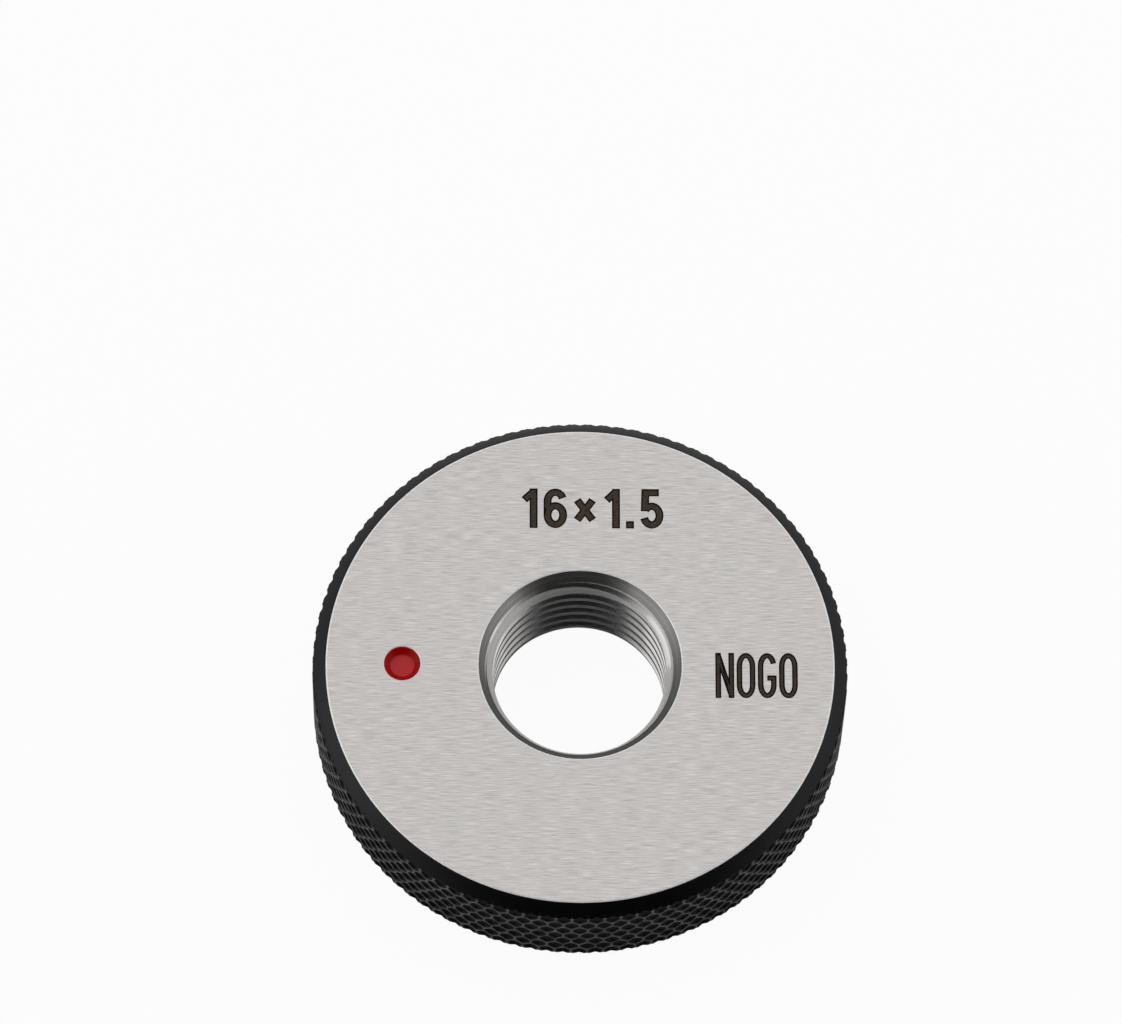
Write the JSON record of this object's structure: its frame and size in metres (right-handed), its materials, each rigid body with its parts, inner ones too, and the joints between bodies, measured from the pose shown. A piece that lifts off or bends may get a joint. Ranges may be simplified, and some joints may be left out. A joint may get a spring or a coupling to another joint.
{
  "type": "thread ring gauge",
  "caption": "Flat knurled steel ring with ground faces, bevelled black rim, threaded bore with a countersunk mouth, and a red enamel dot. Rejects screws that are cut too small.",
  "frame": {"origin": "centre of the back face, on the ring's axis", "axes": "+Z along the ring's axis, out of the marked face; -X from the axis to the red dot; +Y towards the size marking"},
  "size_m": [0.045, 0.045, 0.01],
  "materials": {
    "steel": "surface ground faces, turned bore mouth",
    "black_oxide": "satin black oxide on the rim, its bevels and the knurl",
    "red_enamel": "gloss enamel filled into the dimple"
  },
  "bodies": {
    "root": {"gauge_ring": "steel", "red_mark": "red_enamel"}
  },
  "joints": []
}
